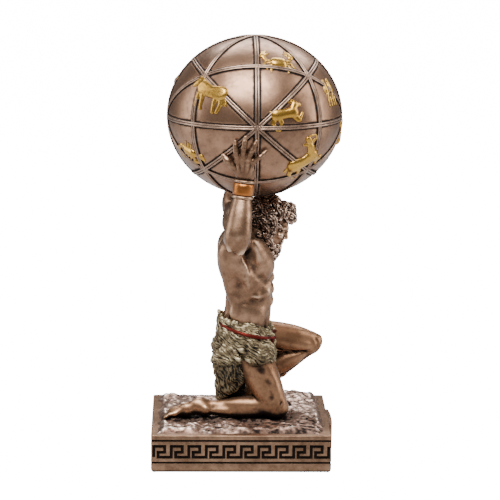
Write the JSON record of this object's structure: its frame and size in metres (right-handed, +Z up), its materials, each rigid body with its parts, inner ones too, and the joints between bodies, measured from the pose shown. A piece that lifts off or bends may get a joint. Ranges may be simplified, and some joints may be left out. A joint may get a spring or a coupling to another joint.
{
  "type": "kneeling figure carrying a globe statuette",
  "caption": "Cast bronze-finish statuette of a bearded man who kneels on a Greek-key plinth and carries a banded celestial globe with gilt zodiac reliefs",
  "frame": {"origin": "middle of the plinth's flat underside", "axes": "+X is the way the man looks and the side with the bare plaque, -Y is his right side, +Z is up"},
  "size_m": [0.1016, 0.1026, 0.23],
  "materials": {
    "plinth_bronze": "bronze powder cast in resin, dark patina in the recesses, rubbed bright on the edges",
    "figure_bronze": "bronze powder cast in resin, satin, dark patina in the folds, painted skin wrap, cord and wristbands",
    "globe_bronze": "bronze powder cast in resin, satin, dark patina beside the bands, gold painted reliefs"
  },
  "bodies": {
    "root": {"plinth": "plinth_bronze", "atlas_figure": "figure_bronze", "celestial_globe": "globe_bronze"}
  },
  "joints": []
}
